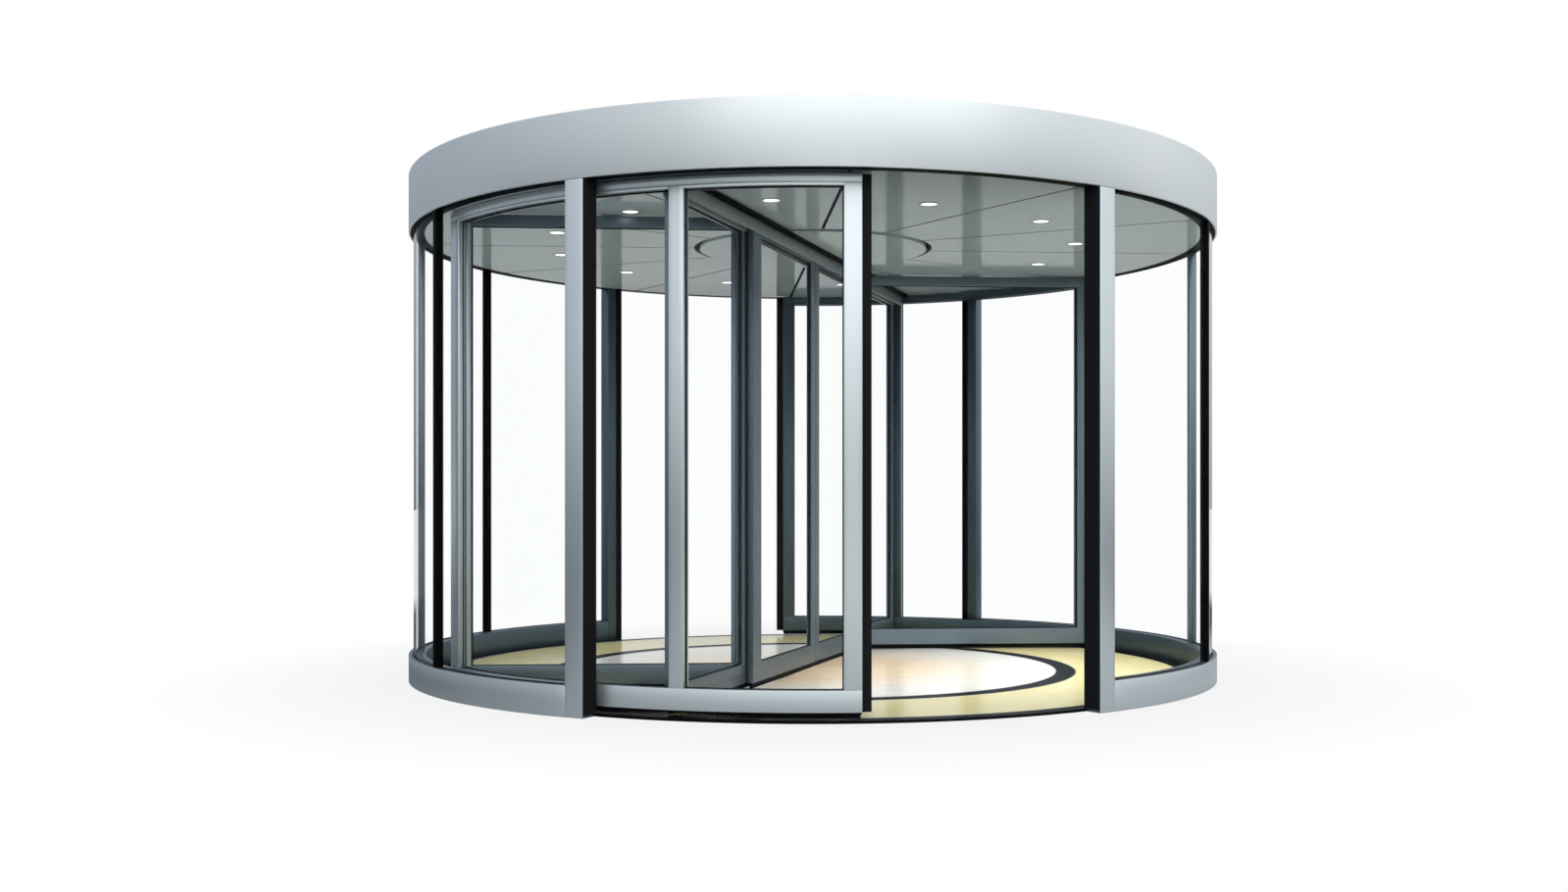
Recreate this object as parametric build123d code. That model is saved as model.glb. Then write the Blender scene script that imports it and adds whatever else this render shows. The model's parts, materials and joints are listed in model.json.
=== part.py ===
from build123d import *
import os
from math import cos, degrees, radians, sin, sqrt

# Two-wing revolving door with a free-standing glazed drum. Millimetres, +Z up, the origin on the
# floor at the drum's centre. The front opening faces -Y. Angles are read in plan from the front,
# positive towards +X. The rotor is drawn with its wing along Y and then turned to its rest angle.

# Drum
DRUM_R = 2100
WALL_DEPTH = 84
PASSAGE_H = 2255
CANOPY_H = 285
OPENING_HALF_DEG = 31.5
BACK_OPENING_HALF_DEG = 33.4
FULL_TURN_DEG = 360
HALF_TURN_DEG = 180
QUARTER_TURN_DEG = 90
CUT_OVERRUN = 20

# Posts and their rubber safety strips
POST_W = 92
STRIP_T = 10
STRIP_FLAP_W = 28
STRIP_FLAP_T = 5
STRIP_SETBACK = 6
STRIP_NOSE_R = 4

# Curved side walls
PLINTH_H = 135
PLINTH_WALL = 8
PLINTH_TOP_T = 32
GLASS_T = 12
GLASS_SETBACK = 24
GROOVE_DEPTH = 16
GROOVE_PLAY = 2
PANES_A_WALL = 4
SLIM_MULLION_W = 36
SLIM_MULLION_DEPTH = 40
MID_MULLION_W = 35
MID_MULLION_DEPTH = 45

# Floor
FLOOR_BASE_T = 8
FLOOR_FINISH_T = 4
FLOOR_RING_R = 1390
FLOOR_RING_W = 100
FLOOR_EDGE_W = 80

# Canopy
FASCIA_T = 8
FASCIA_RETURN_W = 60
FASCIA_SEGMENTS = 4
ROOF_T = 10
ROOF_SEAM_W = 24
ROOF_CAP_R = 300
SOFFIT_W = 70
PANEL_T = 15
PANEL_COUNT = 12
PANEL_JOINT_W = 16
CEILING_FRAME_T = 10

# Downlights
LIGHT_CIRCLE_R = 1390
LIGHT_HOLE_R = 40
LIGHT_RIM_R = 46
LIGHT_LENS_R = 32
LIGHT_RIM_T = 2
LENS_RECESS = 6
LIGHT_LIP = 1.5
LIGHT_TURN_DEG = 3

# Bearing that hangs the rotor in the canopy
HOUSING_R = 420
HOUSING_WALL = 15
HOUSING_SEAT_R = 300
HOUSING_SEAT_T = 15
HOUSING_BOTTOM_RISE = 75
FLANGE_T = 40
BEARING_PLAY = 0.3
BEARING_GAP = 10

# Rotor
REST_DEG = -21
RUN_GAP = 5
DISC_R = 606
DISC_RING_GAP = 30
DISC_T = 18
SCREEN_GAP = 11
SCREEN_T = 63
SCREEN_TOP_RAIL_H = 38
RAIL_FOOT = 43
RAIL_HEAD = 135
SHORT_EDGE_DEG = 22.5
LONG_EDGE_DEG = -40.9
SHORT_STILE_W = 75
LONG_STILE_W = 95
MID_STILE_W = 66
MID_STILE_DEG = 0.3
END_BRUSH_W = 42
BRUSH_T = 20
ROTOR_GLASS_T = 10
REBATE_DEPTH = 12
REBATE_PLAY = 2

# Wing: header beam, fixed sidelights and hung leaves
HEADER_PLATE_T = 8
HEADER_PLATE_OVERHANG_W = 43
HEADER_H = 60
HEADER_CHEEK_T = 8
HEADER_WEB_T = 4
LIP_T = 4
LIP_RISE = 26
LIP_SLOT_W = 14
SIDELIGHT_T = 42
SIDELIGHT_OUTER_STILE_W = 60
SIDELIGHT_INNER_STILE_W = 150
SIDELIGHT_INNER_U = 905
LEAF_T = 28
LEAF_OUTER_U = 1027
LEAF_MEETING_GAP = 6
LEAF_MEETING_STILE_W = 70
LEAF_OUTER_STILE_W = 120
LEAF_TOP_RAIL_H = 30
HANGER_L = 120
HANGER_NECK_T = 8
HANGER_AXLE_R = 4
WHEEL_R = 11
WHEEL_T = 8
WHEEL_INSET = 20

# Straight walls that close the triangular cases at the ends of the wing
CASE_WALL_DEG = 21
CASE_WALL_DISTANCE = 915
CASE_WALL_T = 42
CASE_STILE_W = 20
CASE_HEAD_H = 55

# Places worked out from the sizes above
WALL_IN_R = DRUM_R - WALL_DEPTH
GLASS_MID_R = DRUM_R - GLASS_SETBACK - GLASS_T / 2
FLOOR_TOP = FLOOR_BASE_T + FLOOR_FINISH_T
CANOPY_TOP = PASSAGE_H + CANOPY_H
FASCIA_IN_R = DRUM_R - FASCIA_T
ROOF_TOP = CANOPY_TOP - FASCIA_T
ROOF_UNDER = ROOF_TOP - ROOF_T
PANEL_TOP = PASSAGE_H + PANEL_T
PANEL_OUT_R = FASCIA_IN_R - SOFFIT_W
PANEL_IN_R = DISC_R + DISC_RING_GAP
CEILING_FRAME_IN_R = DISC_R + RUN_GAP
ROTOR_TOP = PASSAGE_H - LIGHT_RIM_T - RUN_GAP
SCREEN_TOP = PASSAGE_H - RUN_GAP
SCREEN_OUT_R = WALL_IN_R - SCREEN_GAP
SCREEN_IN_R = SCREEN_OUT_R - SCREEN_T
SCREEN_MID_R = SCREEN_OUT_R - SCREEN_T / 2
BRUSH_FOOT = FLOOR_TOP + RUN_GAP
HOUSING_BOTTOM = PANEL_TOP + HOUSING_BOTTOM_RISE
HEADER_TOP = ROTOR_TOP - HEADER_PLATE_T
HEADER_FOOT = HEADER_TOP - HEADER_H
WEB_V = -(LEAF_T / 2 + RUN_GAP)
SIDELIGHT_NEAR_V = WEB_V - HEADER_WEB_T
SIDELIGHT_FAR_V = SIDELIGHT_NEAR_V - SIDELIGHT_T
HEADER_FAR_V = SIDELIGHT_FAR_V - HEADER_CHEEK_T
HEADER_NEAR_V = LEAF_T / 2 + RUN_GAP + HEADER_CHEEK_T
LIP_FOOT = HEADER_FOOT + LIP_RISE
LEAF_TOP = LIP_FOOT - RUN_GAP


def arc_deg(length, radius):
    """Angle in plan that a length covers along a circle."""
    return degrees(length / radius)


POST_DEG = arc_deg(POST_W, DRUM_R)
STRIP_DEG = arc_deg(STRIP_T, DRUM_R)
WALL_START_DEG = OPENING_HALF_DEG + POST_DEG
WALL_END_DEG = HALF_TURN_DEG - BACK_OPENING_HALF_DEG - POST_DEG


def swept(profile, start_deg, end_deg):
    """Turn a section, drawn as radius and height, about Z between two plan angles."""
    solid = revolve(Plane.XZ * profile, Axis.Z, revolution_arc=end_deg - start_deg)
    return Rot(0, 0, start_deg - QUARTER_TURN_DEG) * solid


def section(low_r, high_r, low_z, high_z):
    """Rectangular section between two radii and two heights."""
    return Pos((low_r + high_r) / 2, (low_z + high_z) / 2) * Rectangle(high_r - low_r, high_z - low_z)


def sector(low_r, high_r, low_z, high_z, start_deg, end_deg):
    """Piece of a round wall between two plan angles."""
    return swept(section(low_r, high_r, low_z, high_z), start_deg, end_deg)


def disc(radius, low_z, high_z):
    """Flat round plate."""
    return Pos(0, 0, low_z) * extrude(Circle(radius), high_z - low_z)


def ring(low_r, high_r, low_z, high_z):
    """Flat ring."""
    return disc(high_r, low_z, high_z) - disc(low_r, low_z, high_z)


def slab(low, high):
    """Box between two corners."""
    size = [b - a for a, b in zip(low, high)]
    middle = [(a + b) / 2 for a, b in zip(low, high)]
    return Pos(*middle) * Box(*size)


def turned(shape, angle_deg):
    """Shape turned in plan."""
    return Rot(0, 0, angle_deg) * shape


def write(name, *shapes):
    """Write one node, made of solids that don't touch."""
    solids = [solid for shape in shapes for solid in shape.solids()]
    export_step(solids[0] if len(solids) == 1 else Compound(children=solids), f"parts/{name}.step")


def floor():
    """Base disc with a pale field and two dark rings laid on it."""
    edge_in_r = WALL_IN_R - FLOOR_EDGE_W
    ring_in_r = FLOOR_RING_R - FLOOR_RING_W
    write("floor_base", disc(WALL_IN_R, 0, FLOOR_BASE_T))
    write("floor_field", disc(ring_in_r, FLOOR_BASE_T, FLOOR_TOP),
          ring(FLOOR_RING_R, edge_in_r, FLOOR_BASE_T, FLOOR_TOP))
    write("floor_rings", ring(ring_in_r, FLOOR_RING_R, FLOOR_BASE_T, FLOOR_TOP),
          ring(edge_in_r, WALL_IN_R, FLOOR_BASE_T, FLOOR_TOP))


def post(jamb_deg):
    """Jamb post right of an opening, seen from outside, whose jamb stands at the given angle."""
    return sector(WALL_IN_R, DRUM_R, 0, PASSAGE_H, jamb_deg, jamb_deg + POST_DEG)


def safety_strip(jamb_deg):
    """Rubber angle on the jamb face and round onto the post's inner face, with a rounded nose."""
    flap_r = WALL_IN_R - STRIP_FLAP_T
    nose = sector(flap_r, DRUM_R - STRIP_SETBACK, FLOOR_TOP, PASSAGE_H, -STRIP_DEG, 0)
    nose = fillet(nose.edges().filter_by(Axis.Z).sort_by(Axis.X)[:2], STRIP_NOSE_R)
    flap = sector(flap_r, WALL_IN_R, FLOOR_TOP, PASSAGE_H, 0, arc_deg(STRIP_FLAP_W, WALL_IN_R))
    return turned(nose + flap, jamb_deg)


def posts_and_strips():
    """Four posts, two by two mirror images, and their strips."""
    strips = []
    for name, mirror_name, jamb_deg, turn_deg in (
            ("front_right_post", "front_left_post", OPENING_HALF_DEG, 0),
            ("back_left_post", "back_right_post", BACK_OPENING_HALF_DEG, HALF_TURN_DEG)):
        right = post(jamb_deg)
        strip = safety_strip(jamb_deg)
        write(name, turned(right, turn_deg))
        write(mirror_name, turned(right.mirror(Plane.YZ), turn_deg))
        strips += [turned(strip, turn_deg), turned(strip.mirror(Plane.YZ), turn_deg)]
    write("safety_strips", *strips)


def plinth():
    """Channel-shaped plinth with a glazing groove along its top."""
    groove_half = GLASS_T / 2 + GROOVE_PLAY
    outline = section(WALL_IN_R, DRUM_R, 0, PLINTH_H)
    hollow = section(WALL_IN_R + PLINTH_WALL, DRUM_R - PLINTH_WALL, 0, PLINTH_H - PLINTH_TOP_T)
    groove = section(GLASS_MID_R - groove_half, GLASS_MID_R + groove_half, PLINTH_H - GROOVE_DEPTH, PLINTH_H)
    return swept(outline - hollow - groove, WALL_START_DEG, WALL_END_DEG)


def mullion(face, depth, middle_deg):
    """Upright between two panes, centred on the glass."""
    half_deg = arc_deg(face, GLASS_MID_R) / 2
    return sector(GLASS_MID_R - depth / 2, GLASS_MID_R + depth / 2, PLINTH_H, PASSAGE_H,
                  middle_deg - half_deg, middle_deg + half_deg)


def side_walls():
    """Plinth, mullions and panes of the two curved walls, the left a mirror image of the right."""
    step_deg = (WALL_END_DEG - WALL_START_DEG) / PANES_A_WALL
    mullion_degs = [WALL_START_DEG + index * step_deg for index in range(1, PANES_A_WALL)]
    half_degs = [arc_deg(SLIM_MULLION_W, GLASS_MID_R) / 2] * len(mullion_degs)
    half_degs[len(half_degs) // 2] = arc_deg(MID_MULLION_W, GLASS_MID_R) / 2
    starts = [WALL_START_DEG] + [angle + half for angle, half in zip(mullion_degs, half_degs)]
    ends = [angle - half for angle, half in zip(mullion_degs, half_degs)] + [WALL_END_DEG]
    low_r = GLASS_MID_R - GLASS_T / 2
    high_r = GLASS_MID_R + GLASS_T / 2
    panes = [sector(low_r, high_r, PLINTH_H - GROOVE_DEPTH, PASSAGE_H, start_deg, end_deg)
             for start_deg, end_deg in zip(starts, ends)]
    slim = [mullion(SLIM_MULLION_W, SLIM_MULLION_DEPTH, angle)
            for angle in (mullion_degs[0], mullion_degs[-1])]
    middle = mullion(MID_MULLION_W, MID_MULLION_DEPTH, mullion_degs[len(mullion_degs) // 2])
    skirt = plinth()
    write("right_plinth", skirt)
    write("left_plinth", skirt.mirror(Plane.YZ))
    write("right_glass_wall", *panes)
    write("left_glass_wall", *[sheet.mirror(Plane.YZ) for sheet in panes])
    write("slim_mullions", *slim, *[upright.mirror(Plane.YZ) for upright in slim])
    write("middle_mullions", middle, middle.mirror(Plane.YZ))


def fascia(start_deg):
    """One segment of the canopy's skin with its top return."""
    skin = section(FASCIA_IN_R, DRUM_R, PASSAGE_H, CANOPY_TOP)
    top_return = section(FASCIA_IN_R - FASCIA_RETURN_W, DRUM_R, ROOF_TOP, CANOPY_TOP)
    return swept(skin + top_return, start_deg, start_deg + FULL_TURN_DEG / FASCIA_SEGMENTS)


def ceiling_panels():
    """Wedge-shaped panels with open joints, each bored for a downlight."""
    panels = ring(PANEL_IN_R, PANEL_OUT_R, PASSAGE_H, PANEL_TOP)
    step_deg = FULL_TURN_DEG / PANEL_COUNT
    joint = slab((-PANEL_JOINT_W / 2, -DRUM_R, PASSAGE_H), (PANEL_JOINT_W / 2, DRUM_R, PANEL_TOP))
    for index in range(PANEL_COUNT // 2):
        panels -= turned(joint, index * step_deg)
    for spot in light_places():
        panels -= spot * disc(LIGHT_HOLE_R, PASSAGE_H, PANEL_TOP)
    return panels


def light_places():
    """Places of the downlights, near the middle of each ceiling panel."""
    step_deg = FULL_TURN_DEG / PANEL_COUNT
    return [Rot(0, 0, (index + 1 / 2) * step_deg + LIGHT_TURN_DEG) * Pos(LIGHT_CIRCLE_R, 0, 0)
            for index in range(PANEL_COUNT)]


def downlights():
    """Trim ring with a flared reflector, and the recessed lens, of each downlight."""
    rim_foot = PASSAGE_H - LIGHT_RIM_T
    lens_foot = PASSAGE_H + LENS_RECESS
    mouth_r = LIGHT_HOLE_R - LIGHT_LIP
    outline = Polyline((LIGHT_LENS_R, PANEL_TOP), (LIGHT_HOLE_R, PANEL_TOP), (LIGHT_HOLE_R, PASSAGE_H),
                       (LIGHT_RIM_R, PASSAGE_H), (LIGHT_RIM_R - LIGHT_LIP, rim_foot), (mouth_r, rim_foot),
                       (LIGHT_LENS_R, lens_foot), close=True)
    trim = swept(make_face(outline), 0, FULL_TURN_DEG)
    lens = disc(LIGHT_LENS_R, lens_foot, PANEL_TOP)
    write("downlight_trims", *[spot * trim for spot in light_places()])
    write("downlight_lenses", *[spot * lens for spot in light_places()])


def bearing_housing():
    """Cup hung from the roof cover, with an inner seat that carries the rotor."""
    wall = section(HOUSING_R - HOUSING_WALL, HOUSING_R, HOUSING_BOTTOM, ROOF_UNDER)
    seat = section(HOUSING_SEAT_R, HOUSING_R, HOUSING_BOTTOM, HOUSING_BOTTOM + HOUSING_SEAT_T)
    return swept(wall + seat, 0, FULL_TURN_DEG)


def roof():
    """Flat cover with raised seams between its sheets and a cap over the bearing."""
    cover = disc(FASCIA_IN_R, ROOF_UNDER, ROOF_TOP)
    seam_r = FASCIA_IN_R - FASCIA_RETURN_W - RUN_GAP
    seam = slab((-ROOF_SEAM_W / 2, -seam_r, ROOF_TOP), (ROOF_SEAM_W / 2, seam_r, CANOPY_TOP))
    inside = disc(seam_r, ROOF_TOP, CANOPY_TOP)
    for index in range(PANEL_COUNT // 2):
        cover += turned(seam, index * FULL_TURN_DEG / PANEL_COUNT) & inside
    return cover + disc(ROOF_CAP_R, ROOF_TOP, CANOPY_TOP)


def canopy():
    """Skin, roof, ceiling, lights and bearing housing over the drum."""
    sides = ("front", "right", "back", "left")
    segment_deg = FULL_TURN_DEG / FASCIA_SEGMENTS
    for index, side in enumerate(sides):
        write(f"{side}_fascia", fascia((index - 1 / 2) * segment_deg))
    write("roof_cover", roof())
    backing = section(CEILING_FRAME_IN_R, FASCIA_IN_R, PANEL_TOP, PANEL_TOP + CEILING_FRAME_T)
    soffit = section(PANEL_OUT_R, FASCIA_IN_R, PASSAGE_H, PANEL_TOP + CEILING_FRAME_T)
    write("ceiling_frame", swept(backing + soffit, 0, FULL_TURN_DEG))
    write("ceiling_panels", ceiling_panels())
    write("bearing_housing", bearing_housing())
    downlights()


def write_rotor(name, *shapes):
    """Write a node of the rotor, turned to the rest angle."""
    write(name, *[turned(shape, REST_DEG) for shape in shapes])


def rotor_hub():
    """Ceiling disc and the spindle whose flange lies on the housing's seat."""
    disc_top = ROTOR_TOP + DISC_T
    flange_foot = HOUSING_BOTTOM + HOUSING_SEAT_T + BEARING_PLAY
    shaft = section(0, HOUSING_SEAT_R - BEARING_GAP, disc_top, flange_foot + FLANGE_T)
    flange = section(0, HOUSING_R - HOUSING_WALL - BEARING_GAP, flange_foot, flange_foot + FLANGE_T)
    write_rotor("rotor_disc", disc(DISC_R, ROTOR_TOP, disc_top))
    write_rotor("rotor_spindle", swept(shaft + flange, 0, FULL_TURN_DEG))


def span(low_v, high_v, low_z, high_z):
    """Rectangle of the header's section, drawn across the wing."""
    return Pos((low_v + high_v) / 2, (low_z + high_z) / 2) * Rectangle(high_v - low_v, high_z - low_z)


def along_wing(profile):
    """Run a section along the whole wing, cut to the inner face of the end screens."""
    length = SCREEN_IN_R + CUT_OVERRUN
    bar = extrude(Plane.XZ * profile, length, both=True)
    return bar & disc(SCREEN_IN_R, 0, CANOPY_TOP)


def header():
    """Beam under the ceiling: two cheeks, a web and the lips of the leaves' concealed track."""
    lip_top = LIP_FOOT + LIP_T
    near_cheek_v = HEADER_NEAR_V - HEADER_CHEEK_T
    beam = span(HEADER_FAR_V, SIDELIGHT_FAR_V, HEADER_FOOT, HEADER_TOP)
    beam += span(SIDELIGHT_NEAR_V, WEB_V, HEADER_FOOT, HEADER_TOP)
    beam += span(near_cheek_v, HEADER_NEAR_V, HEADER_FOOT, HEADER_TOP)
    beam += span(HEADER_FAR_V, HEADER_NEAR_V, HEADER_TOP - LIP_T, HEADER_TOP)
    beam += span(WEB_V, -LIP_SLOT_W / 2, LIP_FOOT, lip_top)
    beam += span(LIP_SLOT_W / 2, near_cheek_v, LIP_FOOT, lip_top)
    plate = span(HEADER_FAR_V, HEADER_NEAR_V + HEADER_PLATE_OVERHANG_W, HEADER_TOP, ROTOR_TOP)
    write_rotor("wing_header", along_wing(beam))
    write_rotor("header_plate", along_wing(plate))


def framed(low, high, left_bar, right_bar, foot_bar, head_bar):
    """Upright frame in the YZ plane between two corners, rebated all round, and the glass in its rebate."""
    window_low = (low[0], low[1] + left_bar, low[2] + foot_bar)
    window_high = (high[0], high[1] - right_bar, high[2] - head_bar)
    middle = (low[0] + high[0]) / 2

    def layer(thickness):
        return slab((middle - thickness / 2, window_low[1] - REBATE_DEPTH, window_low[2] - REBATE_DEPTH),
                    (middle + thickness / 2, window_high[1] + REBATE_DEPTH, window_high[2] + REBATE_DEPTH))

    groove = layer(ROTOR_GLASS_T + 2 * REBATE_PLAY)
    return slab(low, high) - slab(window_low, window_high) - groove, layer(ROTOR_GLASS_T)


def brush_under(low_v, high_v, low_u, high_u):
    """Brush strip between a bottom rail and the floor."""
    middle = (low_v + high_v) / 2
    return slab((middle - BRUSH_T / 2, low_u, BRUSH_FOOT), (middle + BRUSH_T / 2, high_u, RAIL_FOOT))


def sidelight():
    """Fixed frame between the front end screen and the leaf, its glass and its brush."""
    inside = disc(SCREEN_IN_R, 0, PASSAGE_H)
    reach = SCREEN_IN_R + CUT_OVERRUN
    low = (SIDELIGHT_FAR_V, -reach, RAIL_FOOT)
    high = (SIDELIGHT_NEAR_V, -SIDELIGHT_INNER_U, HEADER_TOP - LIP_T)
    head_bar = high[2] - HEADER_FOOT
    frame, glass = framed(low, high, SIDELIGHT_OUTER_STILE_W + CUT_OVERRUN, SIDELIGHT_INNER_STILE_W,
                          RAIL_HEAD - RAIL_FOOT, head_bar)
    brush = brush_under(SIDELIGHT_FAR_V, SIDELIGHT_NEAR_V, -reach, -SIDELIGHT_INNER_U)
    return frame & inside, glass, brush & inside


def case_wall(end_v, notch_v, notch_foot):
    """Straight wall from the screen's long end to the wing, its glass and its brush.

    It ends across the wing at one distance, and further out above the notch's foot.
    """
    far = CASE_WALL_DISTANCE + CASE_WALL_T
    tilt = radians(CASE_WALL_DEG)
    inner_end = (end_v - far * sin(tilt)) / cos(tilt)
    outer_end = -sqrt(SCREEN_IN_R ** 2 - far ** 2)
    low = (CASE_WALL_DISTANCE, -SCREEN_IN_R, RAIL_FOOT)
    high = (far, 0, ROTOR_TOP)
    frame, glass = framed(low, high, outer_end + CASE_STILE_W - low[1], high[1] - inner_end + CASE_STILE_W,
                          RAIL_HEAD - RAIL_FOOT, CASE_HEAD_H)
    brush = brush_under(low[0], high[0], low[1], high[1])
    beyond = slab((end_v, -DRUM_R, 0), (DRUM_R, DRUM_R, CANOPY_TOP))
    notch = slab((notch_v, -DRUM_R, notch_foot), (DRUM_R, DRUM_R, CANOPY_TOP))
    inside = disc(SCREEN_IN_R, 0, CANOPY_TOP) - beyond - notch
    frame, glass, brush = [turned(piece, CASE_WALL_DEG - QUARTER_TURN_DEG)
                           for piece in (frame, glass, brush)]
    return frame & inside, glass, brush & inside


def mirrored(shape):
    """The same piece on the back half of the wing."""
    return shape.mirror(Plane.XZ)


def hanger(low_u):
    """Plate on top of a leaf with two pairs of wheels that run on the lips of the track."""
    axle_z = LIP_FOOT + LIP_T + BEARING_PLAY + WHEEL_R
    high_u = low_u + HANGER_L
    neck_v = HANGER_NECK_T / 2
    carriage = slab((-neck_v, low_u, LEAF_TOP), (neck_v, high_u, axle_z + HANGER_AXLE_R))
    wheel_v = LEAF_T / 2
    for wheel_u in (low_u + WHEEL_INSET, high_u - WHEEL_INSET):
        axle = Pos(0, wheel_u, axle_z) * Rot(0, QUARTER_TURN_DEG, 0)
        carriage += axle * Cylinder(HANGER_AXLE_R, 2 * wheel_v)
        for side in (-1, 1):
            carriage += Pos(side * (wheel_v - WHEEL_T / 2), 0, 0) * axle * Cylinder(WHEEL_R, WHEEL_T)
    return carriage


def leaf():
    """Front hung leaf: frame with two hangers, glass and brush."""
    low = (-LEAF_T / 2, -LEAF_OUTER_U, RAIL_FOOT)
    high = (LEAF_T / 2, -LEAF_MEETING_GAP / 2, LEAF_TOP)
    frame, glass = framed(low, high, LEAF_OUTER_STILE_W, LEAF_MEETING_STILE_W,
                          RAIL_HEAD - RAIL_FOOT, LEAF_TOP_RAIL_H)
    for low_u in (low[1], high[1] - HANGER_L):
        frame += hanger(low_u)
    brush = brush_under(low[0], high[0], low[1], high[1])
    return frame, glass, brush


def screen_stile(start_deg, end_deg, head_foot):
    """Upright of a curved screen, rebated on both sides for the glass."""
    stile = sector(SCREEN_IN_R, SCREEN_OUT_R, RAIL_HEAD, head_foot, start_deg, end_deg)
    rebate_deg = arc_deg(REBATE_DEPTH, SCREEN_MID_R)
    half = ROTOR_GLASS_T / 2 + REBATE_PLAY
    for low_deg, high_deg in ((start_deg, start_deg + rebate_deg), (end_deg - rebate_deg, end_deg)):
        stile -= sector(SCREEN_MID_R - half, SCREEN_MID_R + half, RAIL_HEAD, head_foot, low_deg, high_deg)
    return stile


def screen_rail(low_z, high_z, rebate_low_z, rebate_high_z):
    """Rail of a curved screen with a rebate along one edge."""
    half = ROTOR_GLASS_T / 2 + REBATE_PLAY
    profile = section(SCREEN_IN_R, SCREEN_OUT_R, low_z, high_z)
    profile -= section(SCREEN_MID_R - half, SCREEN_MID_R + half, rebate_low_z, rebate_high_z)
    return swept(profile, LONG_EDGE_DEG, SHORT_EDGE_DEG)


def end_screen():
    """Front curved screen: rails, stiles, panes and brushes."""
    mid_deg = arc_deg(MID_STILE_W, SCREEN_MID_R) / 2
    brush_deg = arc_deg(END_BRUSH_W, SCREEN_MID_R)
    rebate_deg = arc_deg(REBATE_DEPTH, SCREEN_MID_R)
    head_foot = SCREEN_TOP - SCREEN_TOP_RAIL_H
    rails = [screen_rail(head_foot, SCREEN_TOP, head_foot, head_foot + REBATE_DEPTH),
             screen_rail(RAIL_FOOT, RAIL_HEAD, RAIL_HEAD - REBATE_DEPTH, RAIL_HEAD)]
    stile_spans = [(LONG_EDGE_DEG, LONG_EDGE_DEG + arc_deg(LONG_STILE_W, SCREEN_MID_R)),
                   (MID_STILE_DEG - mid_deg, MID_STILE_DEG + mid_deg),
                   (SHORT_EDGE_DEG - arc_deg(SHORT_STILE_W, SCREEN_MID_R), SHORT_EDGE_DEG)]
    stiles = [screen_stile(*ends, head_foot) for ends in stile_spans]
    glass_half = ROTOR_GLASS_T / 2
    panes = [sector(SCREEN_MID_R - glass_half, SCREEN_MID_R + glass_half, RAIL_HEAD - REBATE_DEPTH,
                    head_foot + REBATE_DEPTH, left[1] - rebate_deg, right[0] + rebate_deg)
             for left, right in zip(stile_spans, stile_spans[1:])]
    low_r = SCREEN_MID_R - BRUSH_T / 2
    high_r = SCREEN_MID_R + BRUSH_T / 2
    brushes = [sector(low_r, high_r, BRUSH_FOOT, RAIL_FOOT, LONG_EDGE_DEG, SHORT_EDGE_DEG),
               sector(low_r, high_r, RAIL_FOOT, SCREEN_TOP, LONG_EDGE_DEG - brush_deg, LONG_EDGE_DEG),
               sector(low_r, high_r, RAIL_FOOT, SCREEN_TOP, SHORT_EDGE_DEG, SHORT_EDGE_DEG + brush_deg)]
    return rails, stiles, panes, brushes


def rotor():
    """Everything that turns with the wing."""
    rotor_hub()
    header()
    rails, stiles, panes, brushes = end_screen()
    frame, glass, brush = sidelight()
    for side, angle_deg in (("front", 0), ("back", HALF_TURN_DEG)):
        write_rotor(f"{side}_screen_rails", *[turned(rail, angle_deg) for rail in rails])
        write_rotor(f"{side}_screen_stiles", *[turned(stile, angle_deg) for stile in stiles])
        write_rotor(f"{side}_screen_glass", *[turned(sheet, angle_deg) for sheet in panes])
    write_rotor("front_sidelight_frame", frame)
    write_rotor("back_sidelight_frame", mirrored(frame))
    write_rotor("sidelight_glass", glass, mirrored(glass))
    front_case = case_wall(SIDELIGHT_FAR_V, HEADER_FAR_V, HEADER_FOOT)
    back_case = case_wall(-HEADER_NEAR_V, -(HEADER_NEAR_V + HEADER_PLATE_OVERHANG_W), HEADER_TOP)
    back_case = [turned(piece, HALF_TURN_DEG) for piece in back_case]
    write_rotor("case_wall_frames", front_case[0], back_case[0])
    write_rotor("case_wall_glass", front_case[1], back_case[1])
    write_rotor("rotor_brushes", brush, mirrored(brush), front_case[2], back_case[2], *brushes,
                *[turned(strip, HALF_TURN_DEG) for strip in brushes])


def leaves():
    """The two leaves that part from the rotor's axis."""
    frame, glass, brush = leaf()
    write_rotor("front_leaf_frame", frame)
    write_rotor("front_leaf_glass", glass)
    write_rotor("front_leaf_brush", brush)
    write_rotor("back_leaf_frame", mirrored(frame))
    write_rotor("back_leaf_glass", mirrored(glass))
    write_rotor("back_leaf_brush", mirrored(brush))


os.makedirs("parts", exist_ok=True)
floor()
posts_and_strips()
side_walls()
canopy()
rotor()
leaves()
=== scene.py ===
import json
import math

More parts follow.
